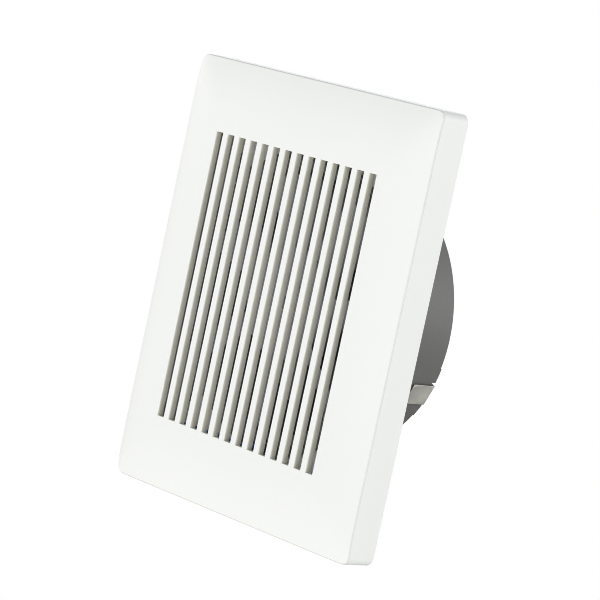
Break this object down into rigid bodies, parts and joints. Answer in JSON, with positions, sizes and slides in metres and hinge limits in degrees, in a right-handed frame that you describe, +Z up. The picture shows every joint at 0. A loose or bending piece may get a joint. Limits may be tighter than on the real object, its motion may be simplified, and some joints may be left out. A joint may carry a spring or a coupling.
{
  "type": "bathroom extractor fan",
  "caption": "Through-wall bathroom extractor fan: crowned rectangular cover with upright slots, round casing for a wall pipe, axial impeller and motor, two-leaf backdraft shutter.",
  "frame": {"origin": "the duct's axis where it crosses the wall plane, which is the centre of the four wall screws", "axes": "+Y points into the wall along the duct's axis, so the front cover faces -Y; +Z is up; +X is to the right of a person facing the cover"},
  "size_m": [0.19, 0.0683, 0.232],
  "materials": {
    "cover_white": "white moulded plastic with a fine satin surface",
    "frame_white": "white moulded plastic, plain inside finish",
    "casing_grey": "dark grey moulded plastic, satin",
    "impeller_grey": "light grey moulded plastic",
    "flap_grey": "mid grey moulded plastic",
    "spring_steel": "rolled stainless spring steel",
    "zinc_steel": "zinc plated steel",
    "shell_steel": "pressed galvanised sheet",
    "lamination": "stacked electrical steel, oiled",
    "cage_aluminium": "cast aluminium",
    "bronze": "sintered bronze, oiled",
    "brass": "machined brass",
    "felt": "oiled wool felt",
    "copper": "enamelled copper wire",
    "nylon": "natural nylon",
    "terminal_plastic": "ivory moulded plastic",
    "rubber": "black rubber",
    "foam": "closed cell foam",
    "capacitor_case": "potted black case",
    "lead_insulation": "coloured flexible insulation"
  },
  "bodies": {
    "root": {"mounting_frame": "frame_white", "wall_gasket": "foam", "duct_casing": "casing_grey", "casing_screws": "zinc_steel", "terminal_block": "terminal_plastic", "terminal_inserts": "brass", "terminal_screws": "zinc_steel", "terminal_block_screws": "zinc_steel", "terminal_cover": "terminal_plastic", "terminal_cover_screw": "zinc_steel", "cord_clamp": "terminal_plastic", "cord_clamp_screws": "zinc_steel", "cable_grommet": "rubber", "run_capacitor": "capacitor_case", "capacitor_lead": "lead_insulation", "motor_leads": "lead_insulation", "motor_front_shell": "shell_steel", "motor_rear_shell": "shell_steel", "motor_tie_screws": "zinc_steel", "stator_core": "lamination", "coil_bobbins": "nylon", "stator_coils": "copper", "front_bearing": "bronze", "rear_bearing": "bronze", "oil_felts": "felt", "motor_grommets": "rubber", "motor_screws": "zinc_steel", "shutter_pin": "zinc_steel", "shutter_spring": "spring_steel"},
    "cover": {"front_cover": "cover_white"},
    "rotor": {"impeller": "impeller_grey", "impeller_washer": "zinc_steel", "impeller_nut": "zinc_steel", "drive_pin": "zinc_steel", "motor_shaft": "zinc_steel", "rotor_core": "lamination", "rotor_cage": "cage_aluminium", "thrust_washers": "nylon"},
    "flap_left": {"flap_left": "flap_grey"},
    "flap_right": {"flap_right": "flap_grey"},
    "leaf_top": {"leaf_spring_top": "spring_steel"},
    "leaf_right": {"leaf_spring_right": "spring_steel"},
    "leaf_left": {"leaf_spring_left": "spring_steel"}
  },
  "joints": [
    {"name": "cover_pull", "type": "slide", "parent": "root", "child": "cover", "axis": [0, -1, 0], "range_m": [0, 0.06]},
    {"name": "impeller_spin", "type": "hinge", "parent": "root", "child": "rotor", "pos_m": [0, 0, 0], "axis": [0, 1, 0], "continuous": true},
    {"name": "flap_right_swing", "type": "hinge", "parent": "root", "child": "flap_right", "pos_m": [0, 0.0404, 0], "axis": [0, 0, 1], "range_deg": [0, 78], "stiffness_Nm_per_rad": 0.002, "deforming": ["shutter_spring"]},
    {"name": "flap_left_swing", "type": "hinge", "parent": "root", "child": "flap_left", "pos_m": [0, 0.0404, 0], "axis": [0, 0, -1], "range_deg": [0, 78], "stiffness_Nm_per_rad": 0.002},
    {"name": "leaf_top_flex", "type": "hinge", "parent": "root", "child": "leaf_top", "pos_m": [-0.01245, 0.0428, 0.07061], "axis": [0.9848, 0, 0.1736], "range_deg": [0, 3.2], "stiffness_Nm_per_rad": 0.6},
    {"name": "leaf_right_flex", "type": "hinge", "parent": "root", "child": "leaf_right", "pos_m": [0.06498, 0.0428, -0.0303], "axis": [-0.4226, 0, -0.9063], "range_deg": [0, 3.2], "stiffness_Nm_per_rad": 0.6},
    {"name": "leaf_left_flex", "type": "hinge", "parent": "root", "child": "leaf_left", "pos_m": [-0.06209, 0.0428, -0.03585], "axis": [-0.5, 0, 0.866], "range_deg": [0, 3.2], "stiffness_Nm_per_rad": 0.6}
  ],
  "couplings": [
    {"joint": "flap_left_swing", "follows": "flap_right_swing", "ratio": 1},
    {"joint": "leaf_right_flex", "follows": "leaf_top_flex", "ratio": 1},
    {"joint": "leaf_left_flex", "follows": "leaf_top_flex", "ratio": 1}
  ]
}
